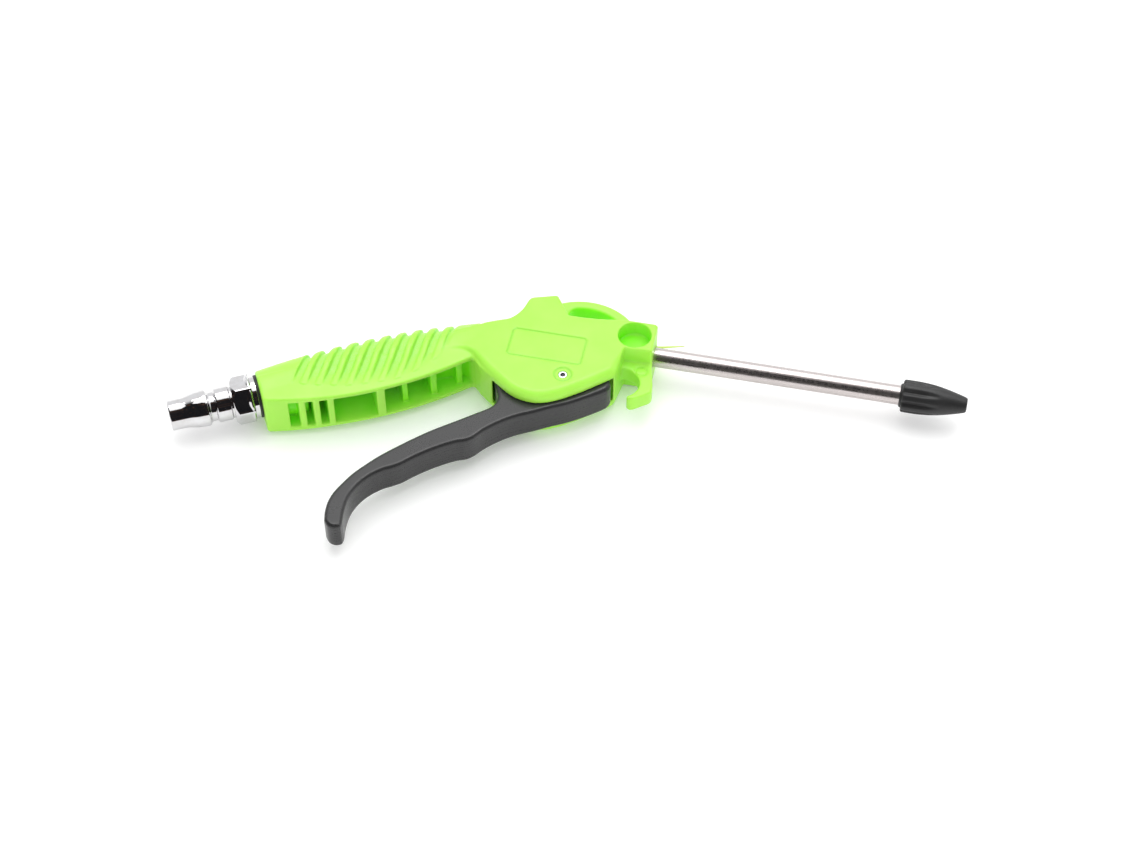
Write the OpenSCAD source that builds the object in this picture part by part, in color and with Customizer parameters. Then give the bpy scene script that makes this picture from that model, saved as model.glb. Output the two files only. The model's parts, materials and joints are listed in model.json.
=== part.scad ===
// Pneumatic air blow gun lying on its side: moulded body, squeeze lever, poppet valve, steel nozzle tube.
// X runs along the nozzle to the tip, Z is the thickness, and Z = 0 is the surface it lies on.
// Plan coordinates inside the modules are taken from the pivot's foot on the nozzle axis.

/* [Head] */
// Thickness of the moulded head from side to side
head_t = 19; // [18.6:0.1:20]
// Gap between the two cheeks that the lever moves in
slot_w = 11; // [10.9:0.1:11.4]
// Thickness of the hanging loop and of the front hook
plate_t = 6; // [5:0.5:7]
// X of the block's front face, where the nozzle tube comes out
front_x = 26.4; // [26:0.1:27]
// Radius of the round pocket in each side of the block
pocket_r = 5.5; // [4.5:0.1:5.6]
// Depth of that pocket
pocket_d = 5.6; // [4:0.1:5.8]

/* [Handle] */
// Angle between the handle and the nozzle
handle_angle = 28.6; // [28:0.1:29.2]
// Largest reach of the handle's back from its axis
handle_back = 10.9; // [10.6:0.1:11.2]
// Largest reach of the handle's trigger side from its axis
handle_front = 14.4; // [14:0.1:14.8]
// Pitch of the grip ridges, along the nozzle's direction
ridge_pitch = 4.78; // [4.7:0.01:4.85]
// Depth of the grooves between the ridges
ridge_d = 1.2; // [0.8:0.1:1.4]

/* [Lever] */
// Width of the lever
lever_w = 10.5; // [10:0.1:10.6]
// Distance of the pivot from the nozzle axis
pivot_drop = 21.6; // [21.4:0.1:21.8]
// Radius of the pivot rivet
rivet_r = 1.5; // [1.3:0.1:1.6]

/* [Nozzle] */
// Outer radius of the nozzle tube
tube_r = 3.25; // [3.1:0.05:3.3]
// X of the rear edge of the rubber tip
tip_rear_x = 107.8; // [100:0.1:112]
// Length of the rubber tip
tip_l = 21.7; // [20:0.1:24]
// Largest radius of the rubber tip
tip_r = 5.4; // [5:0.1:6]

/* [Inlet plug] */
// Radius of the plug's widest part, which the coupler's balls lock behind
plug_nose_r = 6; // [5.8:0.1:6.2]
// Hexagon across flats
plug_hex_af = 14; // [13:0.5:14]
// Radius of the threaded shank
plug_thread_r = 6.58; // [6.5:0.01:6.6]

/* [Valve] */
// X of the valve's axis, behind the pivot
valve_x = -12.7; // [-12.9:0.1:-12.5]
// Radius of the valve stem
stem_r = 1.25; // [1.2:0.05:1.25]

/* [Hidden] */

$fn = 96;
eps = 0.01;
lime = [0.62, 0.98, 0.30];
mid_z = head_t / 2;
// Moves the plan's reference to the middle of the object's bounding box.
centre_shift = [-2.45, 37.87, 0];
running_gap = 0.05;

handle_end = [-96.4, -43];
// Where along the handle its back and its trigger side reach furthest, and the radii of those bows.
back_crown = 38;
front_crown = 36;
back_bow_r = 230;
front_bow_r = 127;
handle_l = 76;
section_r = 8.8;
flange_half = 7.1;
channel_half = 5.8;
air_tube_r = 4.6;
air_bore_r = 2.7;
thread_l = 13;

ridge_count = 10;
first_groove_x = -82.1;
groove_w = 2.3;
groove_tilt = 4.5;

pivot = [0, -pivot_drop];
slot_roof_y = -14;

collar_x = [3, 11];
collar_r = 4.6;
o_ring_r = 0.55;
nozzle_o_ring_x = 12.2;

barrel_r = 4.4;
nut_y = [-15.7, -14, -9.4];
sleeve_y = [-9.4, -3.6];
seat_y = [-3.6, -1.6];
chamber_r = 3.6;
chamber_end_y = 8.6;
outlet_y = -6.2;
o_ring_seat_r = barrel_r - 2 * o_ring_r;
stem_ring_r = 0.6;
stem_ring_y = -10.05;
stem_tip_y = -19.75;
poppet_y = [-1.58, -0.6, 0.4, 1.2];
spring_y = [1.22, 8.58];
spring_mean_r = 2.1;
spring_wire_r = 0.3;
spring_turns = 6;

// A smooth curve through control points, as a Catmull-Rom spline with n steps a span.
function spline_point(a, b, c, d, t) =
    0.5 * (2 * b + (c - a) * t + (2 * a - 5 * b + 4 * c - d) * t * t + (3 * b - a - 3 * c + d) * t * t * t);
function spline(p, n = 4) =
    let (last = len(p) - 1)
    [for (i = [0:last - 1])
        for (j = [0:(i == last - 1 ? n : n - 1)])
            spline_point(p[max(i - 1, 0)], p[i], p[i + 1], p[min(i + 2, last)], j / n)];

module in_frame() {
    translate(centre_shift) children();
}

// Handle coordinates: X along the handle from its end, Y towards its back, Z up from the lying surface.
module in_handle(z = 0) {
    translate([handle_end.x, handle_end.y, z]) rotate([0, 0, handle_angle]) children();
}

// Z of the children runs along the handle, from the distance s.
module along_handle(s) {
    in_handle(mid_z) translate([s, 0, 0]) rotate([0, 90, 0]) children();
}

// Z of the children runs along the nozzle, from x.
module along_nozzle(x) {
    translate([x, 0, mid_z]) rotate([0, 90, 0]) children();
}

// Z of the children runs along the valve, from y.
module along_valve(y) {
    translate([valve_x, y, mid_z]) rotate([-90, 0, 0]) children();
}

module ring(r_in, r_out, h) {
    difference() {
        cylinder(r = r_out, h = h);
        translate([0, 0, -1]) cylinder(r = r_in, h = h + 2);
    }
}

module o_ring(centre_r, wire_r) {
    rotate_extrude() translate([centre_r, 0]) circle(r = wire_r, $fn = 32);
}

// ---- Moulded body ----

// Plan of the handle between its two bowed edges.
module handle_plan() {
    intersection() {
        translate([back_crown, handle_back - back_bow_r]) circle(r = back_bow_r + 1, $fn = 360);
        translate([front_crown, front_bow_r - handle_front]) circle(r = front_bow_r, $fn = 360);
        translate([0, -20]) square([handle_l, 40]);
    }
}

// Round back of the handle, bent along its bow.
module handle_round(inset) {
    in_handle(mid_z) translate([back_crown, handle_back - back_bow_r, 0])
        rotate_extrude($fn = 360) translate([back_bow_r - section_r, 0]) circle(r = section_r - inset);
}

// Sides of the handle, closing in from the round back to the edge of the channel.
module handle_sides(inset, edge_half) {
    back_half = section_r - 0.15 - inset;
    front = handle_front + 1;
    along_handle(-1) linear_extrude(handle_l + 1)
        polygon([[-back_half, 0.3], [-edge_half, -front], [edge_half, -front], [back_half, 0.3]]);
}

module handle_solid(inset = 0, edge_half = flange_half) {
    intersection() {
        in_handle() linear_extrude(head_t) handle_plan();
        union() {
            handle_round(inset);
            handle_sides(inset, edge_half);
        }
    }
}

// Grooves that leave the diagonal grip ridges between them, fading out towards the trigger side.
module grip_grooves() {
    difference() {
        for (i = [0:ridge_count - 1])
            translate([first_groove_x + i * ridge_pitch, -22, -1])
                rotate([0, 0, -groove_tilt])
                    translate([-groove_w / 2, -26, 0]) cube([groove_w, 52, head_t + 2]);
        handle_solid(ridge_d, flange_half + 1.6);
        in_handle(-1) translate([0, -30, 0]) cube([90, 19.5, head_t + 2]);
    }
}

// Pockets open towards the trigger side, between the side walls; each pair is a start and an end along it.
module handle_pockets() {
    windows = [[7.6, 10.8], [13, 15.4], [17.5, 20]];
    pockets = [[22.1, 36], [38.8, 70]];
    difference() {
        union() {
            for (w = windows) pocket_box(w);
            for (p = pockets) pocket_box(p);
        }
        along_handle(0) cylinder(r = air_tube_r, h = handle_l);
        along_handle(0) cylinder(r = plug_thread_r + 1.6, h = thread_l + 1.5);
    }
}

module pocket_box(span) {
    in_handle(mid_z - channel_half)
        translate([span[0], -20, 0]) cube([span[1] - span[0], 21, 2 * channel_half]);
}

// Short cross ribs, set back from the edge of the channel.
module short_ribs() {
    for (rib = [[45.1, 46.9, 11], [54.7, 56.9, 10.6], [63.9, 66, 8.6]])
        in_handle(mid_z - channel_half)
            translate([rib[0], -rib[2], 0]) cube([rib[1] - rib[0], rib[2] - 2, 2 * channel_half]);
}

// Outline of the head: back edge, turret, nozzle block, then round the cheek's rim to the handle.
module head_plan() {
    back = spline([[-38, -8.2], [-33, -5.6], [-26, -2.2], [-21.5, 0], [-19.1, 3.6], [-18.2, 7]]);
    turret = spline([[-17.8, 8.6], [-16.8, 9.8], [-13, 11.1], [-9.4, 12.2], [-8.3, 11.8]]);
    saddle = spline([[-3.4, 4.4], [3, 4.5], [9, 5.1], [15, 6.1]]);
    block = [[25.6, 6.1], [front_x, 5.4], [front_x, -6], [16.4, -6.1]];
    rim = spline([[17, -7.6], [16.8, -11], [16.5, -14], [15.8, -17], [10.5, -21.7], [5, -26.3],
                  [0, -29.8], [-4.4, -31.9], [-8.3, -32.5], [-12.5, -31.9], [-16, -30.4],
                  [-20, -27.3], [-22.4, -25.4]]);
    to_handle = spline([[-28.6, -20.9], [-29.2, -18.4], [-31.5, -15.8], [-34.5, -15], [-38, -15.6]]);
    polygon(concat(back, turret, saddle, block, rim, to_handle));
}

// Space between the cheeks; it leaves a wall at the handle's side and a guard ahead of the lever's nose.
module lever_slot() {
    translate([0, 0, mid_z - slot_w / 2]) linear_extrude(slot_w)
        polygon([[-27.4, -20.2], [-26.4, -16.2], [-22, slot_roof_y], [15.4, slot_roof_y], [15.2, -17.4],
                 [16, -34], [-22.5, -34], [-22.5, -24.3]]);
}

// Front hook under the nozzle block, with a round mouth facing the lever.
module front_hook() {
    mouth = [18, -15.6];
    mouth_r = 6.1;
    translate([0, 0, mid_z - plate_t / 2]) linear_extrude(plate_t)
        difference() {
            polygon(concat([[15.5, -5], [26.3, -5]],
                           spline([[27.3, -9.6], [28.5, -15.4], [28.2, -17.9], [25.9, -19.8], [23.3, -21.8],
                                   [21.8, -21.5], [21.1, -20], [22.6, -17.8]]),
                           [[18, -15.6], [15.5, -14.4]]));
            translate(mouth) circle(r = mouth_r);
        }
}

// Loop behind the head that the gun hangs from.
module hanging_loop() {
    translate([0, 0, mid_z - plate_t / 2]) linear_extrude(plate_t)
        difference() {
            intersection() {
                translate([0.3, -2.2]) circle(r = 20);
                translate([-11, 3]) square([30, 20]);
            }
            intersection() {
                translate([0.3, -0.8]) circle(r = 15.4);
                translate([-4.9, 4.4]) square([20, 12]);
            }
        }
}

// Shallow panel for a label in each side of the head.
module label_panels() {
    for (z = [-1, head_t - 0.3])
        translate([-18.6, -15.3, z]) linear_extrude(1.3)
            hull() for (x = [0, 22], y = [0, 9.1]) translate([x, y]) circle(r = 1.2, $fn = 24);
}

module head_bores() {
    block_x = front_x - 6.8;
    for (z = [-1, head_t - pocket_d]) translate([block_x, 0, z]) cylinder(r = pocket_r, h = pocket_d + 1);
    translate([pivot.x, pivot.y, -1]) cylinder(r = rivet_r, h = head_t + 2);
    for (z = [-1, head_t - 0.3]) translate([pivot.x, pivot.y, z]) cylinder(r = 2.8, h = 1.3);
}

// Air way: threaded inlet, bore along the handle, valve bore, slanting outlet and the nozzle's seat.
module air_way() {
    along_handle(-1) cylinder(r = plug_thread_r, h = thread_l + 1);
    along_handle(1) cylinder(r = air_bore_r, h = 94);
    along_valve(nut_y[1]) cylinder(r = barrel_r, h = seat_y[1] - nut_y[1]);
    along_valve(nut_y[0] - 1) cylinder(r = 5.2, h = nut_y[1] - nut_y[0] + 1);
    along_valve(outlet_y - 1.3) cylinder(r = 5.2, h = 2.6);
    along_valve(seat_y[1] - eps) cylinder(r = chamber_r, h = chamber_end_y - seat_y[1]);
    translate([-9, -5.4, mid_z]) rotate([0, 90, 24]) cylinder(r = 1.8, h = 13.5);
    along_nozzle(2) cylinder(r = tube_r, h = front_x);
    along_nozzle(collar_x[0]) cylinder(r = collar_r, h = collar_x[1] - collar_x[0]);
    along_nozzle(nozzle_o_ring_x - o_ring_r) cylinder(r = tube_r + 2 * o_ring_r, h = 2 * o_ring_r);
}

// Wall of the air way where it passes behind the head, from the handle to the turret.
module head_air_tube() {
    along_handle(71) cylinder(r = air_tube_r, h = 21);
}

module gun_body() {
    color(lime) in_frame() {
        difference() {
            union() {
                difference() {
                    handle_solid();
                    grip_grooves();
                    handle_pockets();
                }
                linear_extrude(head_t) head_plan();
                head_air_tube();
                short_ribs();
                front_hook();
                hanging_loop();
            }
            lever_slot();
            label_panels();
            head_bores();
            air_way();
        }
    }
}

// ---- Lever ----

// Outline of the lever: hub and nose, finger side with two swells, curled end, then back up the handle side.
module lever_plan() {
    hub = spline([[-21.9, -25.3], [-18.6, -21.6], [-15, -19.9], [-14.4, -19.8], [-10.6, -19.8],
                  [-6, -17.4], [0, -16], [7, -15.8], [12.4, -16], [14, -16.9], [14.8, -18.4], [14.7, -19.8]], 3);
    finger = spline([[13.4, -21.8], [8.5, -26.4], [3.5, -29.9], [-1.7, -32.8], [-6.7, -35.8], [-11.7, -38.6],
                     [-16.1, -41.9], [-20.4, -46.2], [-23.2, -50], [-25.4, -51.8], [-28.6, -53.2],
                     [-34, -56.9], [-39.2, -61.4], [-42.9, -65.2], [-45.4, -67.1], [-48.2, -68.9],
                     [-51.5, -72.2], [-54, -76.3], [-55.4, -81], [-55.8, -86], [-55.3, -91]], 3);
    curled_end = spline([[-55.2, -92.2], [-56.4, -93.5], [-58.2, -93.1], [-59.5, -91.2]], 3);
    back = spline([[-60.4, -88], [-60.8, -84.2], [-60.3, -80.3], [-59.1, -76], [-56.9, -71.6], [-53.7, -67],
                   [-50, -62.3], [-43.7, -55.7], [-37.5, -49.8], [-31.2, -44.7], [-25, -39.7],
                   [-21, -36.3], [-19.5, -33.6], [-19.5, -31]], 3);
    polygon(concat(hub, finger, curled_end, back));
}

module lever() {
    color([0.2, 0.2, 0.21]) in_frame()
        difference() {
            translate([0, 0, mid_z - lever_w / 2]) linear_extrude(lever_w) lever_plan();
            translate([pivot.x, pivot.y, -1]) cylinder(r = rivet_r + running_gap, h = head_t + 2);
        }
}

// Tubular rivet, hollow from both ends.
module pivot_rivet() {
    recess = 0.5;
    hollow = 4;
    color([0.75, 0.75, 0.76]) in_frame() translate([pivot.x, pivot.y, 0])
        difference() {
            translate([0, 0, recess]) cylinder(r = rivet_r, h = head_t - 2 * recess);
            for (z = [recess - 1, head_t - recess - hollow])
                translate([0, 0, z]) cylinder(r = rivet_r - 0.6, h = hollow + 1);
        }
}

// ---- Inlet ----

module inlet_plug() {
    flange_s = [-3.6, -0.9];
    hex_s = -9;
    hex_turn = 18;
    // Distance from the handle's end and radius, from the nose to the collar.
    nose = [[-29.7, 0], [-29.7, 4.7], [-29.4, 5], [-24.5, 5], [-17.9, plug_nose_r], [-17.2, plug_nose_r],
            [-16.6, 5.1], [-16.2, 4.85], [-14.8, 4.85], [-14.4, 5.4], [-14.1, 5.65], [-9.9, 5.65],
            [-9.5, 5.2], [hex_s, 5.2], [hex_s, 0]];
    bore_r = 3.75;
    color([0.85, 0.85, 0.87]) in_frame() along_handle(0)
        difference() {
            union() {
                rotate_extrude() polygon([for (p = nose) [p[1], p[0]]]);
                intersection() {
                    translate([0, 0, hex_s]) rotate([0, 0, hex_turn])
                        cylinder(r = plug_hex_af / 2 / cos(30), h = flange_s[0] - hex_s, $fn = 6);
                    translate([0, 0, hex_s]) cylinder(r1 = 6.7, r2 = 9.7, h = 3);
                }
                intersection() {
                    translate([0, 0, hex_s + 3]) rotate([0, 0, hex_turn])
                        cylinder(r = plug_hex_af / 2 / cos(30), h = flange_s[0] - hex_s - 3, $fn = 6);
                    translate([0, 0, hex_s]) cylinder(r1 = 10, r2 = 7, h = flange_s[0] - hex_s);
                }
                translate([0, 0, flange_s[0] - eps]) cylinder(r = 7, h = flange_s[1] - flange_s[0] + eps);
                translate([0, 0, flange_s[1] - eps]) cylinder(r = plug_thread_r, h = 12);
            }
            translate([0, 0, -31]) cylinder(r = bore_r, h = 45);
        }
}

module inlet_washer() {
    color([0.08, 0.08, 0.08]) in_frame() along_handle(-0.9) ring(plug_thread_r, 7.3, 0.9);
}

// ---- Nozzle ----

module nozzle_tube() {
    color([0.72, 0.70, 0.69]) in_frame() along_nozzle(2) ring(2.3, tube_r, tip_rear_x + 4.2 - 2);
}

module tube_collar() {
    color([0.80, 0.66, 0.35]) in_frame() along_nozzle(collar_x[0])
        ring(tube_r, collar_r, collar_x[1] - collar_x[0]);
}

module nozzle_o_ring() {
    color([0.1, 0.1, 0.1]) in_frame() along_nozzle(nozzle_o_ring_x) o_ring(tube_r + o_ring_r, o_ring_r);
}

module nozzle_tip() {
    socket_l = 4.2;
    outlet_r = 1.3;
    end_r = 2.35;
    ogive = spline([[tip_r, 5.5], [5.1, 10], [4.2, 15], [3.2, 19], [end_r + 0.3, tip_l - 0.5]]);
    color([0.12, 0.12, 0.13]) in_frame() along_nozzle(tip_rear_x)
        difference() {
            rotate_extrude()
                polygon(concat([[0, 0], [tip_r - 0.5, 0], [tip_r, 0.5]], ogive, [[end_r, tip_l], [0, tip_l]]));
            translate([0, 0, -1]) cylinder(r = tube_r, h = socket_l + 1);
            cylinder(r = outlet_r, h = tip_l + 1);
        }
}

// ---- Valve ----

module gland_nut() {
    packing_r = 2.5;
    color([0.80, 0.66, 0.35]) in_frame()
        difference() {
            union() {
                along_valve(nut_y[0]) cylinder(r = 4.9, h = nut_y[1] - nut_y[0]);
                along_valve(nut_y[1] - eps) cylinder(r = barrel_r, h = nut_y[2] - nut_y[1] + eps);
            }
            along_valve(-12.3 - o_ring_r) ring(o_ring_seat_r, barrel_r + 1, 2 * o_ring_r);
            along_valve(stem_ring_y - stem_ring_r) cylinder(r = packing_r, h = 2);
            along_valve(nut_y[0] - 1) cylinder(r = stem_r + running_gap, h = 10);
        }
}

module guide_o_ring() {
    color([0.1, 0.1, 0.1]) in_frame() along_valve(-12.3) o_ring(barrel_r - o_ring_r, o_ring_r);
}

module stem_o_ring() {
    color([0.1, 0.1, 0.1]) in_frame() along_valve(stem_ring_y)
        o_ring(stem_r + 0.03 + stem_ring_r, stem_ring_r);
}

module valve_sleeve() {
    floor_t = 0.8;
    length = sleeve_y[1] - sleeve_y[0];
    color([0.80, 0.66, 0.35]) in_frame()
        difference() {
            along_valve(sleeve_y[0]) cylinder(r = barrel_r, h = length);
            along_valve(sleeve_y[0] + floor_t) cylinder(r = 2.6, h = length);
            along_valve(sleeve_y[0] - 1) cylinder(r = stem_r + running_gap, h = 4);
            for (a = [0, 90])
                along_valve(outlet_y) rotate([0, 0, a]) rotate([0, 90, 0])
                    translate([0, 0, -6]) cylinder(r = 1.1, h = 12);
        }
}

module valve_seat() {
    color([0.80, 0.66, 0.35]) in_frame()
        difference() {
            along_valve(seat_y[0]) cylinder(r = barrel_r, h = seat_y[1] - seat_y[0]);
            along_valve((seat_y[0] + seat_y[1]) / 2 - o_ring_r) ring(o_ring_seat_r, barrel_r + 1, 2 * o_ring_r);
            along_valve(seat_y[0] - 1) cylinder(r = 2, h = 4);
        }
}

module seat_o_ring() {
    color([0.1, 0.1, 0.1]) in_frame() along_valve((seat_y[0] + seat_y[1]) / 2)
        o_ring(barrel_r - o_ring_r, o_ring_r);
}

module valve_stem() {
    top_y = 2;
    dome_y = stem_tip_y + stem_r;
    color([0.78, 0.70, 0.45]) in_frame() {
        along_valve(dome_y) cylinder(r = stem_r, h = top_y - dome_y);
        along_valve(dome_y) sphere(r = stem_r);
    }
}

module poppet_disc() {
    color([0.80, 0.66, 0.35]) in_frame() along_valve(poppet_y[1]) ring(stem_r, 3.3, poppet_y[2] - poppet_y[1]);
}

module poppet_seal() {
    color([0.1, 0.1, 0.1]) in_frame() along_valve(poppet_y[0]) ring(stem_r, 3.1, poppet_y[1] - poppet_y[0]);
}

module spring_cup() {
    color([0.80, 0.66, 0.35]) in_frame() along_valve(poppet_y[2]) ring(stem_r, 2.9, poppet_y[3] - poppet_y[2]);
}

// Helical spring as one swept tube; the wire's centre rises evenly between its two end radii.
module valve_spring() {
    sides = 8;
    steps_a_turn = 20;
    steps = spring_turns * steps_a_turn;
    low = spring_wire_r;
    rise = spring_y[1] - spring_y[0] - 2 * spring_wire_r;
    points = [for (i = [0:steps])
        for (j = [0:sides - 1])
            let (turn = 360 * i / steps_a_turn,
                 wire = 360 * j / sides,
                 r = spring_mean_r + spring_wire_r * cos(wire))
            [r * cos(turn), r * sin(turn), low + rise * i / steps + spring_wire_r * sin(wire)]];
    skin = [for (i = [0:steps - 1])
        for (j = [0:sides - 1])
            let (k = (j + 1) % sides)
            [i * sides + j, (i + 1) * sides + j, (i + 1) * sides + k, i * sides + k]];
    start_cap = [[for (j = [0:sides - 1]) j]];
    end_cap = [[for (j = [sides - 1:-1:0]) steps * sides + j]];
    color([0.6, 0.6, 0.62]) in_frame() along_valve(spring_y[0])
        polyhedron(points, concat(start_cap, skin, end_cap));
}

gun_body();
lever();
pivot_rivet();
inlet_plug();
inlet_washer();
nozzle_tube();
tube_collar();
nozzle_o_ring();
nozzle_tip();
gland_nut();
guide_o_ring();
stem_o_ring();
valve_sleeve();
valve_seat();
seat_o_ring();
valve_stem();
poppet_disc();
poppet_seal();
spring_cup();
valve_spring();
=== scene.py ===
import json
import math

import bpy
import numpy as np
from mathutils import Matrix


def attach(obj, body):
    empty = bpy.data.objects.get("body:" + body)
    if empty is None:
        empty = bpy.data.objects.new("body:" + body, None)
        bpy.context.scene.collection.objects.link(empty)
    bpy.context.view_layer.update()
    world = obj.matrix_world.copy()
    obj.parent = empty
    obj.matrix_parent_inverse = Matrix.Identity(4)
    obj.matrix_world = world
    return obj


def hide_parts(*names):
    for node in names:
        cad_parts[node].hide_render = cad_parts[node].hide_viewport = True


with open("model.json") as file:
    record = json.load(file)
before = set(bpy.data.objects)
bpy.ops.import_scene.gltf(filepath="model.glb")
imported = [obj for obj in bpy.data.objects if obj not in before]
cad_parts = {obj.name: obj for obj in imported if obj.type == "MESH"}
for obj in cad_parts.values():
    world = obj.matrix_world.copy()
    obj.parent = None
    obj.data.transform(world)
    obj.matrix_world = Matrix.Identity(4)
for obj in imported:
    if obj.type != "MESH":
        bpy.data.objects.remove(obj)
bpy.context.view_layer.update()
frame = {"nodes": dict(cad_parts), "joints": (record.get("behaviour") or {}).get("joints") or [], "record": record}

import openvdb
from mathutils import Vector

# Lengths are millimetres in plan coordinates: X along the nozzle, Y towards the hanging loop, the plan's
# origin on the nozzle's axis above the lever's pivot, and Z up from the surface the gun lies on.
MID_Z = 9.5
PIVOT = np.array([0.0, -21.6])
pivot_m = next(j["pos_m"] for j in frame["joints"] if j["name"] == "lever_squeeze")
SHIFT = np.array([pivot_m[0] * 1000 - PIVOT[0], pivot_m[1] * 1000 - PIVOT[1], 0.0])

HANDLE_END = np.array([-96.4, -43.0])
HANDLE_ANGLE = math.radians(28.6)
ALONG = np.array([math.cos(HANDLE_ANGLE), math.sin(HANDLE_ANGLE), 0.0])
ACROSS = np.array([-math.sin(HANDLE_ANGLE), math.cos(HANDLE_ANGLE), 0.0])
CHANNEL_HALF = 5.8
AIR_TUBE_R = 4.6


def to_frame(points):
    """Plan millimetres to the frame's metres."""
    return (np.asarray(points, dtype=float) + SHIFT) / 1000


# ---- Curves and distance fields ----


def spline(points, n=6):
    """Catmull-Rom curve through the control points."""
    p = np.asarray(points, dtype=float)
    out = []
    for i in range(len(p) - 1):
        a, b, c, d = p[max(i - 1, 0)], p[i], p[i + 1], p[min(i + 2, len(p) - 1)]
        for j in range(n):
            t = j / n
            out.append(0.5 * (2 * b + (c - a) * t + (2 * a - 5 * b + 4 * c - d) * t * t
                              + (3 * b - a - 3 * c + d) * t ** 3))
    out.append(p[-1])
    return [tuple(q) for q in out]


def outline_distance(outline, x, y):
    """Signed distance to a closed outline, negative inside."""
    nearest = np.full(x.shape, 1e9)
    inside = np.zeros(x.shape, dtype=bool)
    last = outline[-1]
    for here in outline:
        ex, ey = here[0] - last[0], here[1] - last[1]
        length2 = ex * ex + ey * ey
        if length2 < 1e-12:
            continue
        wx, wy = x - last[0], y - last[1]
        t = np.clip((wx * ex + wy * ey) / length2, 0, 1)
        nearest = np.minimum(nearest, (wx - ex * t) ** 2 + (wy - ey * t) ** 2)
        if here[1] != last[1]:
            crosses = (y >= min(here[1], last[1])) & (y < max(here[1], last[1]))
            inside ^= crosses & (wx < wy * ex / ey)
        last = here
    return np.where(inside, -1, 1) * np.sqrt(nearest)


def join(a, b, k):
    """Smooth union."""
    h = np.clip(0.5 + 0.5 * (b - a) / k, 0, 1)
    return b + (a - b) * h - k * h * (1 - h)


def meet(a, b, k):
    """Smooth intersection."""
    return -join(-a, -b, k)


def cut(a, b, k):
    """Smooth difference."""
    return meet(a, -b, k)


def slab(flat, z, half, r):
    """Plan distance raised to a plate of that half thickness, with its edges rounded to r."""
    across = flat + r
    up = np.abs(z) - half + r
    outside = np.hypot(np.maximum(across, 0), np.maximum(up, 0))
    return np.minimum(np.maximum(across, up), 0) + outside - r


def block(u, u0, u1, v, v0, v1):
    """Distance, exact near its faces, to a rectangle in any two coordinates."""
    return np.maximum(between(u, u0, u1), between(v, v0, v1))


def between(u, u0, u1):
    """Distance along one coordinate to the stretch from u0 to u1."""
    return np.abs(u - (u0 + u1) / 2) - (u1 - u0) / 2


def ramp(value, start, end):
    t = np.clip((value - start) / (end - start), 0, 1)
    return t * t * (3 - 2 * t)


class Field:
    """Regular grid of sample points; x and y are planes, z is measured from the middle of the thickness."""

    def __init__(self, low, high, step):
        self.low, self.step = np.asarray(low, dtype=float), step
        counts = np.ceil((np.asarray(high) - self.low) / step).astype(int) + 1
        axes = [self.low[i] + step * np.arange(counts[i]) for i in range(3)]
        self.x, self.y = np.meshgrid(axes[0], axes[1], indexing="ij")
        self.z = axes[2][None, None, :]

    def mesh(self, name, values, faces):
        grid = openvdb.FloatGrid(5.0)
        grid.copyFromArray(np.ascontiguousarray(np.clip(values, -5, 5), dtype=np.float32))
        points, quads = grid.convertToQuads(isovalue=0)
        points = self.low + np.asarray(points, dtype=float) * self.step
        points[:, 2] += MID_Z
        obj = new_object(name, to_frame(points), np.asarray(quads)[:, ::-1].tolist())
        if signed_volume(obj.data) < 0:
            obj.data.flip_normals()
        quad_count = len(obj.data.polygons)
        if faces < 2 * quad_count:
            thin = obj.modifiers.new("thin", "DECIMATE")
            thin.ratio = faces / (2 * quad_count)
            apply_modifiers(obj)
        shade_smooth(obj)
        return obj


# ---- Mesh helpers ----


def new_object(name, points, faces):
    mesh = bpy.data.meshes.new(name)
    mesh.from_pydata([tuple(p) for p in points], [], faces)
    mesh.update()
    obj = bpy.data.objects.new(name, mesh)
    bpy.context.scene.collection.objects.link(obj)
    return obj


def shade_smooth(obj):
    obj.data.polygons.foreach_set("use_smooth", [True] * len(obj.data.polygons))
    obj.data.update()


def signed_volume(mesh):
    mesh.calc_loop_triangles()
    corners = np.empty(len(mesh.loop_triangles) * 3, dtype=np.int32)
    mesh.loop_triangles.foreach_get("vertices", corners)
    points = np.empty(len(mesh.vertices) * 3)
    mesh.vertices.foreach_get("co", points)
    a, b, c = (points.reshape(-1, 3)[corners.reshape(-1, 3)[:, i]] for i in range(3))
    return float(np.einsum("ij,ij->i", a, np.cross(b, c)).sum())


def apply_modifiers(obj):
    shape = obj.evaluated_get(bpy.context.evaluated_depsgraph_get())
    mesh = bpy.data.meshes.new_from_object(shape)
    old = obj.data
    obj.modifiers.clear()
    obj.data = mesh
    bpy.data.meshes.remove(old)


def rounded(profile, r, steps=4):
    """Profile of (distance, radius) corners, each rounded to r or to its own third value.

    A point next to each arc keeps the flats flat.
    """
    p = [np.asarray(q[:2], dtype=float) for q in profile]
    out = [p[0]]
    for i in range(1, len(p) - 1):
        size = profile[i][2] if len(profile[i]) > 2 else r
        back, ahead = p[i - 1] - p[i], p[i + 1] - p[i]
        lb, la = np.linalg.norm(back), np.linalg.norm(ahead)
        size = min(size, 0.4 * lb, 0.4 * la)
        start, end = p[i] + back / lb * size, p[i] + ahead / la * size
        out.append(start + back / lb * min(0.04, 0.1 * lb))
        for j in range(steps + 1):
            t = j / steps
            out.append((1 - t) ** 2 * start + 2 * t * (1 - t) * p[i] + t * t * end)
        out.append(end + ahead / la * min(0.04, 0.1 * la))
    out.append(p[-1])
    return out


def closed(profile):
    """Plain tuples, ending where they start."""
    points = [(float(p[0]), float(p[1])) for p in profile]
    return points if points[-1] == points[0] else points + [points[0]]


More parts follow.
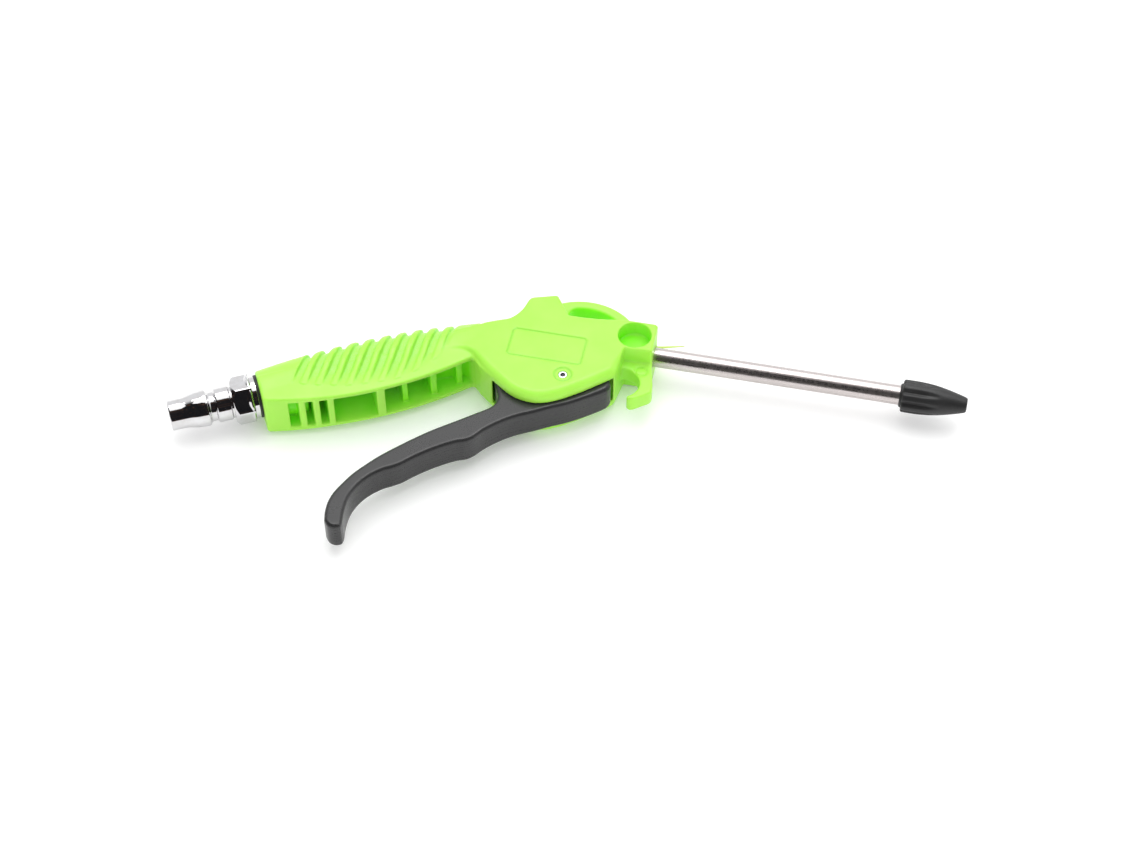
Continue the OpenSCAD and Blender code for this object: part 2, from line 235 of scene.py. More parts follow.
def turned(name, origin, axis, profile, segments=96, radius=None):
    """Surface of revolution. radius(s, r, angle) may change the radius; angle 0 points to the gun's back."""
    axis = np.asarray(axis, dtype=float)
    side = np.cross(np.array([0.0, 0.0, 1.0]), axis) if abs(axis[2]) < 0.9 else np.array([1.0, 0.0, 0.0])
    up = np.cross(axis, side)
    angle = 2 * math.pi * np.arange(segments) / segments
    points, faces = [], []
    for s, r in profile:
        rr = np.full(segments, r) if radius is None else radius(s, r, angle)
        for a, q in zip(angle, rr):
            points.append(np.asarray(origin) + axis * s + q * (side * math.cos(a) + up * math.sin(a)))
    for i in range(len(profile) - 1):
        for j in range(segments):
            k = (j + 1) % segments
            here, ahead = i * segments, (i + 1) * segments
            faces.append((here + j, here + k, ahead + k, ahead + j))
    if tuple(profile[0]) == tuple(profile[-1]):
        last = (len(profile) - 1) * segments
        faces = [tuple(v - last if v >= last else v for v in f) for f in faces]
        points = points[:last]
    obj = new_object(name, to_frame(points), faces)
    if signed_volume(obj.data) < 0:
        obj.data.flip_normals()
    shade_smooth(obj)
    return obj


# ---- Materials ----


class Tree:
    """Adds nodes to a node tree; inputs are values or other nodes' outputs."""

    def __init__(self, tree):
        self.tree = tree

    def node(self, kind, **inputs):
        made = self.tree.nodes.new(kind)
        for key, value in inputs.items():
            self.link(value, made.inputs[key])
        return made

    def link(self, value, socket):
        if isinstance(value, bpy.types.NodeSocket):
            self.tree.links.new(value, socket)
        else:
            socket.default_value = value

    def spread(self, value, low, high, to_low, to_high):
        made = self.node("ShaderNodeMapRange")
        for i, v in enumerate((value, low, high, to_low, to_high)):
            self.link(v, made.inputs[i])
        return made.outputs[0]

    def blend(self, amount, a, b):
        made = self.tree.nodes.new("ShaderNodeMix")
        made.data_type = "RGBA"
        self.link(amount, made.inputs[0])
        self.link(a, made.inputs[6])
        self.link(b, made.inputs[7])
        return made.outputs[2]


class Nodes(Tree):
    """Builds one procedural material around a Principled shader."""

    def __init__(self, name, **sockets):
        self.material = bpy.data.materials.new(name)
        self.material.use_nodes = True
        super().__init__(self.material.node_tree)
        self.shader = self.tree.nodes["Principled BSDF"]
        for key, value in sockets.items():
            self.shader.inputs[key.replace("_", " ")].default_value = value
        self.place = self.tree.nodes.new("ShaderNodeTexCoord").outputs["Object"]
        self.height = None

    def noise(self, scale, detail=3.0, stretch=(1, 1, 1), turn=(0, 0, 0)):
        mapping = self.node("ShaderNodeMapping", Vector=self.place, Scale=stretch, Rotation=turn)
        made = self.node("ShaderNodeTexNoise", Vector=mapping.outputs[0], Scale=scale, Detail=detail,
                         Roughness=0.55)
        return made.outputs[0]

    def math(self, operation, a, b):
        made = self.tree.nodes.new("ShaderNodeMath")
        made.operation = operation
        self.link(a, made.inputs[0])
        self.link(b, made.inputs[1])
        return made.outputs[0]

    def attribute(self, name):
        made = self.tree.nodes.new("ShaderNodeAttribute")
        made.attribute_name = name
        return made.outputs["Fac"]

    def colour(self, value):
        self.link(value, self.shader.inputs["Base Color"])

    def rough(self, value):
        self.link(value, self.shader.inputs["Roughness"])

    def bump(self, value, strength):
        """Adds to the surface's relief; bumps stack."""
        made = self.node("ShaderNodeBump", Height=value, Strength=strength, Distance=0.0002)
        if self.height is not None:
            self.tree.links.new(self.height, made.inputs["Normal"])
        self.height = made.outputs[0]
        self.tree.links.new(self.height, self.shader.inputs["Normal"])


def rgba(r, g, b):
    return (r, g, b, 1.0)


def lime_film():
    """Thin flash of the same plastic, light and yellowish."""
    m = Nodes("lime_film", Specular_IOR_Level=0.3)
    m.colour(m.blend(m.noise(900, 3), rgba(0.56, 0.74, 0.13), rgba(0.64, 0.80, 0.20)))
    m.rough(m.spread(m.noise(1800, 3), 0.3, 0.7, 0.4, 0.55))
    m.bump(m.noise(1200, 2), 0.1)
    return m.material


def lime_plastic():
    m = Nodes("lime_plastic", Specular_IOR_Level=0.36, Subsurface_Weight=0.25, Subsurface_Scale=0.0016)
    m.shader.inputs["Subsurface Radius"].default_value = (0.6, 1.0, 0.25)
    grip = m.attribute("grip")
    clouds = m.noise(90, 2)
    fine = m.noise(2600, 4)
    base = m.blend(m.spread(clouds, 0.3, 0.7, 0, 1), rgba(0.385, 0.84, 0.075), rgba(0.42, 0.87, 0.095))
    frost = m.math("MULTIPLY", grip, m.spread(fine, 0.35, 0.65, 0.0, 1.0))
    frosted = m.blend(frost, base, rgba(0.44, 0.84, 0.20))
    # Painted shade: a darker green at the ribs' feet and along the label panel's and rivet ring's grooves.
    crease_shaded = m.blend(m.attribute("crease_shade"), frosted, rgba(0.22, 0.58, 0.04))
    # Painted bounce light: a brighter, more saturated green in the recesses and on the walls of the loop's eye.
    m.colour(m.blend(m.attribute("bounce_light"), crease_shaded, rgba(0.26, 0.93, 0.015)))
    m.rough(m.math("ADD", m.spread(fine, 0.3, 0.7, 0.30, 0.42), m.math("MULTIPLY", grip, 0.14)))
    m.bump(fine, 0.05)
    m.bump(m.noise(500, 2), 0.04)
    return m.material


def lever_plastic():
    m = Nodes("lever_plastic", Specular_IOR_Level=0.4)
    clouds = m.noise(70, 3)
    fine = m.noise(3200, 4)
    streaks = m.noise(60, 4, (1, 1, 30))
    m.colour(m.blend(m.spread(clouds, 0.3, 0.7, 0, 1), rgba(0.024, 0.024, 0.0245),
                     rgba(0.031, 0.031, 0.0315)))
    m.rough(m.math("ADD", m.spread(fine, 0.3, 0.7, 0.24, 0.32), m.spread(streaks, 0.45, 0.7, 0, 0.06)))
    m.bump(fine, 0.10)
    m.bump(streaks, 0.10)
    return m.material


def black_rubber():
    m = Nodes("black_rubber", Specular_IOR_Level=0.45)
    clouds = m.noise(160, 3)
    fine = m.noise(2400, 4)
    m.colour(m.blend(m.spread(clouds, 0.3, 0.7, 0, 1), rgba(0.014, 0.014, 0.0145),
                     rgba(0.022, 0.022, 0.0225)))
    m.rough(m.spread(fine, 0.3, 0.7, 0.42, 0.56))
    m.bump(fine, 0.12)
    m.bump(m.noise(700, 2), 0.06)
    return m.material


def chrome_plate():
    m = Nodes("chrome_plate", Metallic=1.0)
    worn = m.noise(420, 4)
    m.colour(m.blend(m.spread(worn, 0.35, 0.7, 0, 1), rgba(0.68, 0.68, 0.69), rgba(0.62, 0.61, 0.61)))
    m.rough(m.spread(worn, 0.3, 0.75, 0.035, 0.10))
    m.bump(m.noise(260, 2), 0.05)
    m.bump(m.noise(1500, 3), 0.02)
    return m.material


def drawn_steel():
    m = Nodes("drawn_steel", Metallic=1.0)
    lines = m.noise(26, 5, (1, 90, 90), (0.0, 0.0, 0.03))
    specks = m.noise(900, 4)
    m.colour(m.blend(m.spread(lines, 0.35, 0.65, 0, 1), rgba(0.62, 0.57, 0.56), rgba(0.53, 0.485, 0.475)))
    m.rough(m.math("ADD", m.spread(lines, 0.3, 0.7, 0.20, 0.34), m.spread(specks, 0.4, 0.7, 0, 0.06)))
    m.bump(lines, 0.09)
    m.bump(specks, 0.03)
    return m.material


def turned_metal(name, light, dark, low, high):
    m = Nodes(name, Metallic=1.0)
    lines = m.noise(60, 4, (1, 40, 1))
    m.colour(m.blend(m.spread(lines, 0.35, 0.65, 0, 1), light, dark))
    m.rough(m.spread(lines, 0.3, 0.7, low, high))
    m.bump(lines, 0.08)
    return m.material


LIME = lime_plastic()
FILM = lime_film()
LEVER = lever_plastic()
RUBBER = black_rubber()
CHROME = chrome_plate()
TUBE = drawn_steel()
STEEL = turned_metal("ground_steel", rgba(0.66, 0.66, 0.68), rgba(0.54, 0.54, 0.56), 0.20, 0.32)
BRASS = turned_metal("turned_brass", rgba(0.78, 0.58, 0.27), rgba(0.66, 0.47, 0.20), 0.20, 0.32)


def finish_piece(obj, material, body, slot, *nodes):
    obj.data.materials.clear()
    obj.data.materials.append(material)
    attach(obj, body)
    if nodes:
        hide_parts(*nodes)


# ---- Moulded body ----

HEAD_BACK = spline([(-46, -14.4), (-38, -8.8), (-33, -6), (-26, -2.7), (-21.8, -0.4), (-19.2, 3.5),
                    (-18.2, 7)])
TURRET = spline([(-17.8, 8.6), (-16.8, 9.8), (-13, 11.1), (-9.4, 12.2), (-8.3, 11.8)])
SADDLE = spline([(-3.4, 4.4), (3, 4.5), (9, 5.1), (15, 6.1)])
NOZZLE_BLOCK = [(25.6, 6.1), (26.4, 5.4), (26.4, -6), (17.4, -6.1)]
RIM = spline([(17, -7.6), (16.8, -11), (16.5, -14), (15.6, -17), (10.5, -21.7), (5, -26.3), (0, -29.8),
              (-4.4, -31.9), (-8.3, -32.5), (-12.5, -31.9), (-16, -30.4), (-20.2, -27.5), (-23.9, -24.5),
              (-27.2, -21.2), (-29.9, -18.4), (-32.2, -16.9), (-35.4, -16.5), (-40, -17.9), (-46, -20.6)])
HEAD = HEAD_BACK + TURRET + SADDLE + NOZZLE_BLOCK + RIM
SLOT = [(-27.6, -19.9), (-26.4, -16.2), (-22, -14), (15.6, -14), (15.5, -18), (16.2, -34), (-22.6, -34),
        (-22.5, -24.3)]
WALL = [(-33, -14), (-32.2, -17.2), (-30, -19.1), (-27.6, -21.8), (-25.4, -23.6), (-22.4, -25.8), (-21, -24),
        (-22, -15)]
WEB = [(-34.4, -20.9), (-32.4, -19.4), (-31, -18.9), (-29.8, -19.2), (-28.6, -20.4), (-27.4, -21.9),
       (-28, -17), (-34, -16)]
HOOK_TIP = spline([(27.3, -9.6), (28.5, -15.4), (28.2, -17.9), (25.9, -19.8), (23, -21.9), (21.3, -21.7),
                   (20.5, -20.2), (22.1, -18)])
HOOK = [(15.5, -5), (26.3, -5)] + HOOK_TIP + [(18, -15.6), (15.5, -14.4)]
RIDGE_PITCH = 4.78
RIDGE_TILT = 0.04
GROOVE_DEPTH = 1.25
LABEL_CORNER_R = 1.2
RIVET_RING_R = 2.75


def handle_coordinates(f):
    """Distance along the handle from its end, and across it towards its back."""
    x, y = f.x - HANDLE_END[0], f.y - HANDLE_END[1]
    return x * ALONG[0] + y * ALONG[1], x * ACROSS[0] + y * ACROSS[1]


def ridge_phase(x, y):
    """Counts the grip's grooves along the handle: a whole number in the middle of each."""
    return (x + 82.9 - (y + 22) * RIDGE_TILT) / RIDGE_PITCH


def groove_depth(x, y, s, t):
    """Depth of the floor between the ridges, running out towards the trigger side and at both ends."""
    run_out = np.interp(s, [8, 17.8, 27, 38, 43, 50, 57, 66], [-4, -7.4, -10.2, -11.6, -12, -10.6, -7.6, -4])
    phase = ridge_phase(x, y)
    ends = ramp(phase, -0.33, -0.12) * (1 - ramp(phase, 8.7, 9.2))
    return GROOVE_DEPTH * ends * ramp(t, run_out - 0.5, run_out + 8)


def across_ridge(x, y):
    """Distance from the middle line of the nearest rib, measured along X."""
    return (np.mod(ridge_phase(x, y), 1) - 0.5) * RIDGE_PITCH


def back_centre(s):
    """Height across the handle of the middle of its round back, bowed along its length."""
    return 2.1 - (s - 38) ** 2 / 460


def handle_field(f, s, t):
    z = f.z
    centre = (back_centre(s) - 0.5 * ramp(s, 56, 67))[..., None]
    tt, ss = t[..., None], s[..., None]
    round_back = np.hypot(tt - centre, z) - 8.8
    edge_half = (7.1 + 0.7 * np.clip((22 - s) / 22, 0, 1))[..., None]
    half = 8.65 + (tt - 0.3) * (8.65 - edge_half) / 15.7
    sides = np.maximum((np.abs(z) - half) * 0.995, tt - 0.3)
    whole = join(round_back, sides, 1.2)
    depth = groove_depth(f.x, f.y, s, t)[..., None]
    floor = whole + depth * (1.1 - 0.35 * np.mod(ridge_phase(f.x, f.y) - 0.7, 1))[..., None]
    rib_r = np.interp(t, [-12, -2, 4], [0.92, 1.2, 1.32])[..., None]
    proud = 0.22 * (1 - ramp(tt, -5, 1))
    ribs = meet(np.hypot(across_ridge(f.x, f.y)[..., None], floor) - rib_r, whole - proud, 0.35)
    ribs = np.where(depth > 0.004, ribs, 9)
    whole = join(floor, ribs, 0.5)
    front = (np.hypot(s - 36, t - 112.6) - 127)[..., None]
    whole = meet(whole, front, 0.9)
    return meet(meet(whole, -ss, 1.0), ss - 76, 0.3)


def pocket_field(f, s, t):
    z = f.z
    air_tube = np.hypot(t[..., None], z) - AIR_TUBE_R
    boss = np.maximum(np.hypot(t[..., None], z) - 8.18, (s - 14.5)[..., None])
    solid = join(air_tube, boss, 0.6)
    pockets = None
    for s0, s1 in ((7.6, 10.8), (13, 15.4), (17.5, 20), (22.1, 36), (38.8, 70)):
        plan = block(s, s0, s1, t, -20, 1)[..., None]
        pocket = meet(plan, np.abs(z) - CHANNEL_HALF, 0.5)
        pockets = pocket if pockets is None else np.minimum(pockets, pocket)
    pockets = cut(pockets, solid, 0.5)
    for s0, s1, reach in ((45.1, 46.9, 11), (54.7, 56.9, 10.6), (63.9, 66, 8.6)):
        pockets = cut(pockets, block(s, s0, s1, t, -reach, 0)[..., None] + 0 * z, 0.5)
    return pockets


def head_field(f):
    """Flat head, thinning into the handle; its lower rim is well rounded."""
    edge_r = (0.7 + 2.1 * ramp(-f.y, 7, 14) - 1.3 * ramp(-f.x, 22, 32))[..., None]
    half = (MID_Z - 1.7 * ramp(-f.x, 25, 46))[..., None]
    return slab(outline_distance(HEAD, f.x, f.y)[..., None], f.z, half, edge_r)


def eye_outline(x, y):
    """Opening of the hanging loop."""
    return meet(np.hypot(x - 1.4, y + 1.6) - 15.9, block(x, -4.7, 12.6, y, 6.2, 17), 2.6)


def panel_outline(x, y):
    """Distance to the label panel's rounded rectangle."""
    over_x, over_y = np.abs(x + 7.6) - 11, np.abs(y + 10.75) - 4.55
    return np.hypot(np.maximum(over_x, 0), np.maximum(over_y, 0)) - LABEL_CORNER_R


def round_hole(f, x, y, r):
    return (np.hypot(f.x - x, f.y - y) - r)[..., None]


def recess(f, plan, depth):
    """Region within the plan outline, down to depth below either flat side."""
    return meet(plan, MID_Z - depth - np.abs(f.z), 0.2)


def gun_body_field(f):
    z = f.z
    s, t = handle_coordinates(f)
    handle = cut(handle_field(f, s, t), pocket_field(f, s, t), 0.5)
    wall = slab(outline_distance(WALL, f.x, f.y)[..., None], z, 7.3, 0.4)
    body = join(handle, wall, 1.0)
    web = slab(outline_distance(WEB, f.x, f.y)[..., None], z, 7.3, 0.4)
    body = join(body, meet(web, CHANNEL_HALF - np.abs(z), 0.3), 0.5)
    body = join(body, head_field(f), 0.7)
    air_tube = meet(np.hypot(t[..., None], z) - AIR_TUBE_R, between(s, 71, 92)[..., None], 0.3)
    body = join(body, air_tube, 0.8)

    loop = np.maximum(np.hypot(f.x - 1.6, f.y + 3.0) - 20.8, -np.minimum(f.x + 11, f.y - 3))
    loop = slab(cut(loop, eye_outline(f.x, f.y), 0.3)[..., None], z, 3, 1.0)
    body = join(body, loop, 0.9)

    hook = cut(outline_distance(HOOK, f.x, f.y), np.hypot(f.x - 18, f.y + 15.6) - 6.1, 0.8)
    body = join(body, slab(hook[..., None], z, 3, 0.6), 0.9)

    slot = meet(outline_distance(SLOT, f.x, f.y)[..., None], np.abs(z) - 5.5, 0.4)
    body = cut(body, slot, 0.3)
    panel = panel_outline(f.x, f.y)[..., None]
    body = cut(body, recess(f, panel, 0.12), 0.1)
    body = cut(body, recess(f, np.abs(panel) - 0.2, 0.42), 0.15)
    body = cut(body, recess(f, round_hole(f, *PIVOT, 2.7), 0.2), 0.1)
    body = cut(body, recess(f, np.abs(round_hole(f, *PIVOT, RIVET_RING_R)) - 0.22, 0.5), 0.15)
    body = cut(body, round_hole(f, *PIVOT, 1.5) + 0 * z, 0.2)
    body = cut(body, meet(round_hole(f, 19.6, 0, 5.5), MID_Z - 5.6 - np.abs(z), 0.4), 0.25)
    mark = meet(np.abs(round_hole(f, 23.6, -9.6, 1.9)) - 0.25, 2.45 - np.abs(z), 0.1)
    body = cut(body, mark, 0.15)
    return cut(body, air_way_field(f, s, t), 0.2)


def air_way_field(f, s, t):
    """Threaded inlet, bore along the handle, stepped valve bore and the nozzle's seat."""
    z = f.z
    around_handle = np.hypot(t[..., None], z)
    around_valve = np.hypot((f.x + 12.7)[..., None], z)
    around_nozzle = np.hypot(f.y[..., None], z)
    bores = [(around_handle, s, 6.58, -2, 13), (around_handle, s, 2.7, 1, 95),
             (around_valve, f.y, 5.2, -17, -14), (around_valve, f.y, 4.4, -14.1, -1.6),
             (around_valve, f.y, 3.6, -1.7, 8.6), (around_valve, f.y, 5.2, -7.5, -4.9),
             (around_nozzle, f.x, 3.25, 2, 29), (around_nozzle, f.x, 4.6, 3, 11)]
    way = None
    for around, along, r, start, end in bores:
        bore = np.maximum(around - r, between(along, start, end)[..., None])
        way = bore if way is None else np.minimum(way, bore)
    return way


class Points:
    """A mesh's vertices, for the same fields as the grid."""

    def __init__(self, mesh):
        points = np.empty(len(mesh.vertices) * 3)
        mesh.vertices.foreach_get("co", points)
        p = points.reshape(-1, 3) * 1000 - SHIFT
        self.x, self.y, self.z = p[:, 0], p[:, 1], p[:, 2:] - MID_Z


def colour_zones(p):
    """Amounts of frosting in the grooves, of painted shade along the creases, and of painted bounce light deep
    inside the body, at each vertex.
    """
    s, t = handle_coordinates(p)
    z = p.z[:, 0]
    depth = groove_depth(p.x, p.y, s, t) / GROOVE_DEPTH
    lateral = across_ridge(p.x, p.y)
    outside = np.hypot(t - back_centre(s), z) > 7
    grip = depth * ramp(np.abs(lateral), 1.1, 1.6) * outside
    beside_rib = ramp(lateral, 0.75, 1.15) * ramp(-lateral, -1.9, -1.3)
    # Painted shade: darker green on the groove floor beside each rib's foot.
    crease_shade = 0.5 * ramp(depth, 0.02, 0.3) * beside_rib * outside
    ring = np.hypot(p.x - PIVOT[0], p.y - PIVOT[1]) - RIVET_RING_R
    line = np.minimum(np.abs(panel_outline(p.x, p.y)), np.abs(ring))
    # Painted shade along the label panel's groove and the rivet ring on the flat sides.
    crease_shade = np.maximum(crease_shade, 0.45 * ramp(-line, -0.5, -0.15) * (np.abs(z) > 8.5))
    # Painted bounce light: the amount grows with depth inside the body and on the walls of the loop's eye.
    inside = -np.minimum(handle_field(p, s, t), head_field(p))[:, 0]
    eye = 0.7 * ramp(-eye_outline(p.x, p.y), -0.5, -0.1) * ramp(-np.abs(z), -2.9, -2.2)
    return {"grip": grip, "crease_shade": crease_shade, "bounce_light": np.maximum(ramp(inside, 0.4, 3.2), eye)}


def build_gun_body():
    f = Field((-99.0, -61.5, -10.2), (30.0, 19.2, 10.3), 0.36)
    obj = f.mesh("moulded_body", gun_body_field(f), 190000)
    for name, value in colour_zones(Points(obj.data)).items():
        obj.data.attributes.new(name, "FLOAT", "POINT").data.foreach_set("value", value.astype(np.float32))
    finish_piece(obj, LIME, "body", "body_plastic", "gun_body")


def build_flash():
    """Shred of flash where the nozzle tube leaves the block."""
    centre = spline([(26.2, 3.6, 10.4), (28, 3.7, 10.6), (30.5, 4.1, 10.9), (33, 4.6, 11.1),
                     (35.6, 5.2, 11.2)], 5)
    last, sides = len(centre) - 1, 10
    points, faces = [], []
    for i, c in enumerate(centre):
        half_width = 0.42 * math.sin(math.pi * (0.35 + 0.6 * i / last)) + 0.05
        for a in np.arange(sides) * 2 * math.pi / sides:
            points.append(np.array(c) + np.array([0, half_width * math.cos(a), 0.16 * math.sin(a)]))
    for i in range(last):
        for j in range(sides):
            k = (j + 1) % sides
            faces.append((i * sides + j, i * sides + k, (i + 1) * sides + k, (i + 1) * sides + j))
    faces += [tuple(range(sides - 1, -1, -1)), tuple(last * sides + j for j in range(sides))]
    obj = new_object("mould_flash", to_frame(points), faces)
    shade_smooth(obj)
    finish_piece(obj, FILM, "body", "body_plastic")


# ---- Lever ----

LEVER_HUB = spline([(-21.9, -25.3), (-18.6, -21.6), (-15, -19.9), (-14.4, -19.8), (-10.6, -19.8),
                    (-6, -17.4), (0, -16), (7, -15.8), (12.2, -16), (14.3, -16.7), (15.25, -18.3),
                    (15.25, -20), (14.5, -21.6)])
LEVER_FINGER = spline([(12.9, -23.1), (8.5, -26.4), (3.5, -29.9), (-1.7, -32.8), (-6.7, -35.8),
                       (-11.7, -38.6), (-16.1, -41.9), (-20.4, -46.2), (-23.2, -50), (-25.4, -51.8),
                       (-28.6, -53.2), (-34, -56.9), (-39.2, -61.4), (-42.9, -65.2), (-45.4, -67.1),
                       (-48.2, -68.9), (-51.5, -72.2), (-54, -76.3), (-55.4, -81), (-55.5, -86),
                       (-54.8, -91)])
LEVER_END = spline([(-55, -92.6), (-56.8, -93.5), (-59, -93), (-60.6, -91.2)])
LEVER_BACK = spline([(-61.3, -88), (-61.5, -84.2), (-60.8, -80.2), (-59.1, -76), (-56.9, -71.6),
                     (-53.7, -67), (-50, -62.3), (-43.7, -55.7), (-37.5, -49.8), (-31.2, -44.7),
                     (-25, -39.7), (-21, -36.3), (-19.5, -33.6), (-19.5, -31)])


def build_lever():
    f = Field((-62.6, -94.7, -6.0), (16.0, -14.6, 6.1), 0.33)
    flat = outline_distance(LEVER_HUB + LEVER_FINGER + LEVER_END + LEVER_BACK, f.x, f.y)
    lever = slab(flat[..., None], f.z, 5.25, (1.2 + 0.4 * ramp(f.x, 8, 14))[..., None])
    lever = cut(lever, round_hole(f, *PIVOT, 1.55) + 0 * f.z, 0.2)
    obj = f.mesh("squeeze_lever", lever, 110000)
    finish_piece(obj, LEVER, "lever", "lever_plastic", "lever")


def build_rivet():
    profile = rounded([(1.6, 0), (2.4, 0.6), (0.5, 0.7), (0.36, 0.85), (0.36, 1.35), (0.5, 1.5), (9.5, 1.5),
                       (18.5, 1.5), (18.64, 1.35), (18.64, 0.85), (18.5, 0.7), (16.6, 0.6), (17.4, 0)], 0.08)
    obj = turned("pivot_pin", (*PIVOT, 0), (0, 0, 1), profile, 64)
    finish_piece(obj, STEEL, "body", "rivet_steel", "pivot_rivet")


# ---- Inlet ----

HEX_START, HEX_END, HEX_FLATS = -9.0, -2.5, 14.0
HEX_TURN = math.radians(-12)


def plug_radius(s, r, angle):
    """Round but for the hexagon, chamfered by a cone at its front and running out into a round collar."""
    if not HEX_START <= s <= HEX_END or r < 6:
        return np.full(angle.shape, r)
    from_flat = np.mod(angle - HEX_TURN, math.pi / 3) - math.pi / 6
    hexagon = join(HEX_FLATS / 2 / np.cos(from_flat), np.full(angle.shape, 7.95), 0.12)
    front = np.full(angle.shape, 6.75 + s - HEX_START)
    collar = np.full(angle.shape, min(7.0 + (s + 4.35) * 0.85, 7.85, 7.0 + (HEX_END - s) * 2.0))
    return join(-join(-hexagon, -collar, 0.05), front, 0.06)


def build_plug():
    nose = rounded([(-10, 3.75), (-29.7, 3.75, 0.25), (-29.7, 4.75, 0.2), (-29.4, 5, 0.15), (-24.5, 5, 1.0),
                    (-21.4, 5.78, 1.2), (-18.4, 6, 0.3), (-17.6, 6, 0.3), (-17.2, 5.9), (-16.6, 5.1),
                    (-16.2, 4.85), (-14.8, 4.85), (-14.4, 5.4), (-14.1, 5.65, 0.15), (-9.95, 5.65, 0.12),
                    (-9.6, 5.2, 0.08), (-9.0, 5.2, 0.08), (-9.0, 6.7, 0.05)], 0.1)
    hexagon = [(s, 6.75) for s in np.linspace(HEX_START + 0.01, HEX_END - 0.01, 56)]
    shank = rounded([(-2.49, 6.8), (-2.45, 6.9, 0.02), (-2.3, 6.95), (-1.0, 6.95), (-0.9, 6.85, 0.05),
                     (-0.9, 6.55, 0.05), (11, 6.55, 0.3), (11, 3.75, 0.2), (-10, 3.75)], 0.1)
    obj = turned("air_plug", (*HANDLE_END, MID_Z), ALONG, closed(nose + hexagon + shank), 180, plug_radius)
    finish_piece(obj, CHROME, "body", "plug_chrome", "inlet_plug")
    washer = rounded([(-0.9, 6.6), (-0.9, 7.0), (-0.02, 7.1), (-0.02, 6.6)], 0.3)
    obj = turned("plug_washer", (*HANDLE_END, MID_Z), ALONG, closed(washer))
    finish_piece(obj, RUBBER, "body", "seal_rubber", "inlet_washer")


# ---- Nozzle ----

TIP_X, FLUTES = 107.8, 8
FLUTE_TURN = math.radians(117)


def tip_radius(s, r, angle):
    """Flutes from the rear edge, running out where the tip narrows."""
    if r < 2.6 or s > 15:
        return np.full(angle.shape, r)
    wave = 0.5 + 0.5 * np.cos(FLUTES * (angle - FLUTE_TURN))
    depth = 0.8 * (1 - ramp(np.array(s), 6.0, 14.5)) * float(ramp(np.array(r), 4.0, 4.8))
    return r - depth * wave ** 2.6


def divided(profile, step):
    """The profile with points added, at most about a step apart."""
    out = []
    for a, b in zip(profile[:-1], profile[1:]):
        steps = max(1, int(np.linalg.norm(b - a) / step))
        out += [a + (b - a) * i / steps for i in range(steps)]
    return out + [profile[-1]]


def build_nozzle():
    tube = rounded([(2, 2.3), (2, 3.25, 0.2), (112, 3.25, 0.2), (112, 2.3), (2, 2.3)], 0.1)
    obj = turned("steel_tube", (0, 0, MID_Z), (1, 0, 0), closed(divided(tube, 4)))
    finish_piece(obj, TUBE, "body", "tube_steel", "nozzle_tube")

    outer = [(0.6, 3.3), (0.6, 4.9, 0.3), (1.0, 5.35, 0.4), (2.4, 5.4, 0.2), (5.5, 5.4), (8, 5.28),
             (10, 5.08), (12.5, 4.72), (15, 4.2), (17, 3.72), (19, 3.2), (20.6, 2.75), (21.3, 2.5, 0.2),
             (21.7, 2.2), (21.7, 1.3, 0.1), (4.3, 1.3)]
    tip = divided(rounded(outer, 0.15), 0.35) + [(4.3, 3.25), (0.6, 3.25)]
    obj = turned("rubber_tip", (TIP_X, 0, MID_Z), (1, 0, 0), closed(tip), 192, tip_radius)
    finish_piece(obj, RUBBER, "body", "tip_rubber", "nozzle_tip")

    lip = rounded([(-0.2, 3.26), (-0.2, 3.5, 0.1), (0.1, 3.85), (0.8, 4.1), (0.8, 3.26)], 0.2)
    obj = turned("tip_lip", (TIP_X, 0, MID_Z), (1, 0, 0), closed(lip))
    finish_piece(obj, RUBBER, "body", "tip_rubber")


def finish_cad_nodes():
    """Valve pieces keep their CAD shape."""
    looks = {"valve_brass": BRASS, "stem_steel": STEEL, "spring_steel": STEEL, "seal_rubber": RUBBER}
    slots = {p["node"]: p["material_slot"] for p in frame["record"]["subparts"]}
    for name in ("tube_collar", "nozzle_o_ring", "gland_nut", "guide_o_ring", "stem_o_ring", "valve_sleeve",
                 "valve_seat", "seat_o_ring", "valve_stem", "poppet_disc", "poppet_seal", "spring_cup",
                 "valve_spring"):
        obj = frame["nodes"][name]
        for place in obj.material_slots:
            place.material = looks[slots[name]]


# ---- Studio ----


def build_floor():
    half, below = 4.0, -0.0004
    corners = [(-half, -half, below), (half, -half, below), (half, half, below), (-half, half, below)]
    floor = new_object("floor", corners, [(0, 1, 2, 3)])
    m = Nodes("pale_floor", Specular_IOR_Level=0.2, Emission_Color=rgba(1, 1, 1), Emission_Strength=0.12)
    m.colour(m.blend(m.noise(3, 2), rgba(0.93, 0.93, 0.93), rgba(0.95, 0.95, 0.95)))
    m.rough(m.spread(m.noise(40, 3), 0.3, 0.7, 0.6, 0.7))
    floor.data.materials.append(m.material)


def area_light(name, place, size, mirrored_only=False):
    """Lamp above and behind, aimed at the gun."""
    data = bpy.data.lights.new(name, "AREA")
    data.shape = "RECTANGLE"
    data.size, data.size_y = size
    data.energy = 20
    lamp = bpy.data.objects.new(name, data)
    bpy.context.scene.collection.objects.link(lamp)
    lamp.location = place
    lamp.visible_diffuse = not mirrored_only
    lamp.rotation_euler = (-Vector(place)).to_track_quat("-Z", "Y").to_euler()


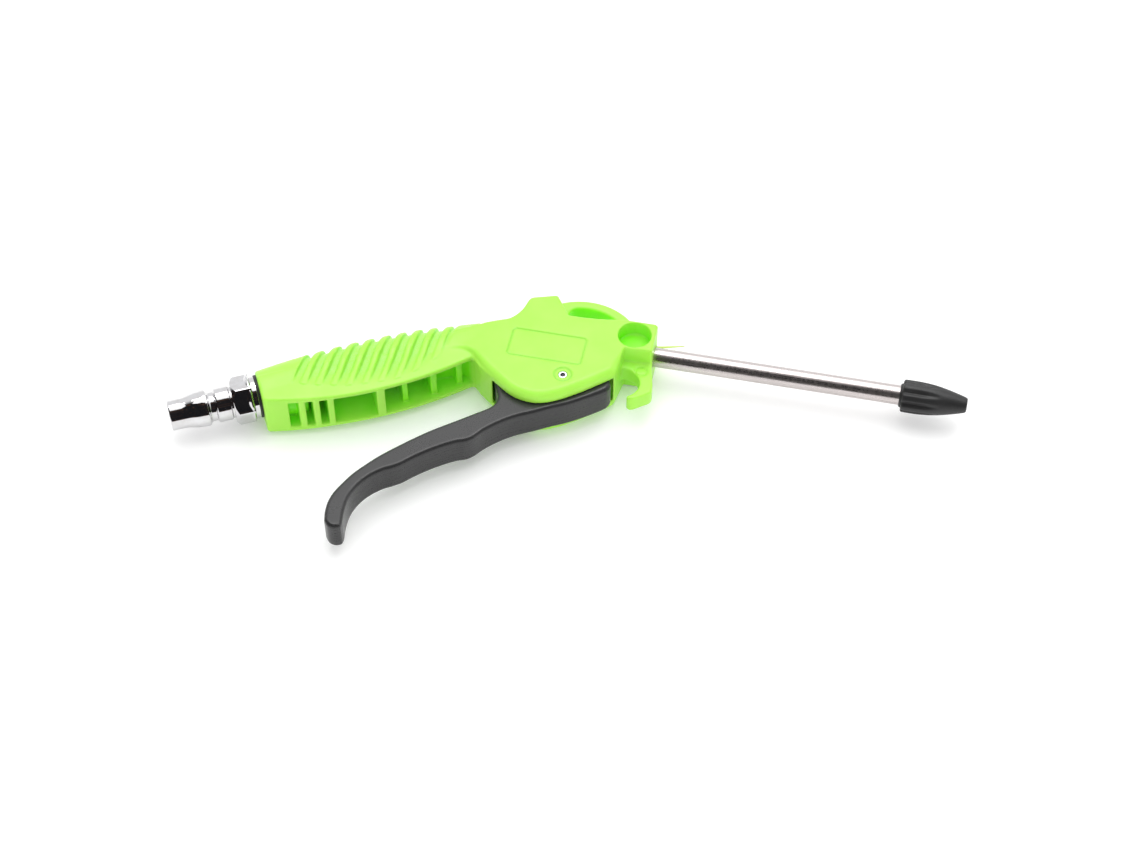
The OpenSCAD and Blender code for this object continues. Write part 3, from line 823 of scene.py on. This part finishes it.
def build_world():
    """Pale all round, but mirrored by metal as a dark room in front of the gun."""
    world = bpy.data.worlds.new("studio")
    world.use_nodes = True
    bpy.context.scene.world = world
    w = Tree(world.node_tree)
    w.tree.nodes.clear()
    place = w.node("ShaderNodeTexCoord").outputs["Generated"]
    direction = w.node("ShaderNodeSeparateXYZ", Vector=place).outputs
    patches = w.node("ShaderNodeTexNoise", Vector=place, Scale=7.0, Detail=4.0).outputs[0]
    warm = w.spread(patches, 0.56, 0.66, 0.0, 1.0)
    dark = w.blend(warm, rgba(0.012, 0.012, 0.014), rgba(0.10, 0.05, 0.032))
    mirrored = w.blend(w.spread(direction["Y"], 0.0, 0.35, 0.0, 1.0), dark, rgba(1.05, 1.05, 1.06))
    height = w.spread(direction["Z"], 0.0, 1.0, 0.0, 1.0)
    soft = w.blend(height, rgba(0.85, 0.85, 0.85), rgba(1.08, 1.08, 1.08))
    path = w.node("ShaderNodeLightPath").outputs
    colour = w.blend(path["Is Glossy Ray"], soft, mirrored)
    colour = w.blend(path["Is Camera Ray"], colour, rgba(1.0, 1.0, 1.0))
    background = w.node("ShaderNodeBackground", Color=colour, Strength=1.0)
    w.node("ShaderNodeOutputWorld", Surface=background.outputs[0])


def build_camera():
    look_at = Vector(to_frame((3.68, -27.67, 0)))
    azimuth, elevation, distance = math.radians(11.8), math.radians(50), 0.7205
    ahead = Vector((-math.sin(azimuth) * math.cos(elevation), math.cos(azimuth) * math.cos(elevation),
                    -math.sin(elevation)))
    data = bpy.data.cameras.new("camera")
    data.sensor_width = 36
    data.lens = 69.47
    data.clip_start = 0.01
    camera = bpy.data.objects.new("camera", data)
    bpy.context.scene.collection.objects.link(camera)
    camera.location = look_at - ahead * distance
    camera.rotation_euler = ahead.to_track_quat("-Z", "Y").to_euler()
    bpy.context.scene.camera = camera


build_gun_body()
build_flash()
build_lever()
build_rivet()
build_plug()
build_nozzle()
finish_cad_nodes()
build_floor()
build_world()
area_light("overhead_soft", (0.05, 0.8, 2.02), (1.9, 2.26))
area_light("overhead_strip", (0.05, 0.66, 2.0), (2.6, 0.3), mirrored_only=True)
build_camera()
bpy.context.scene.view_settings.view_transform = "Standard"
bpy.context.scene.view_settings.look = "None"
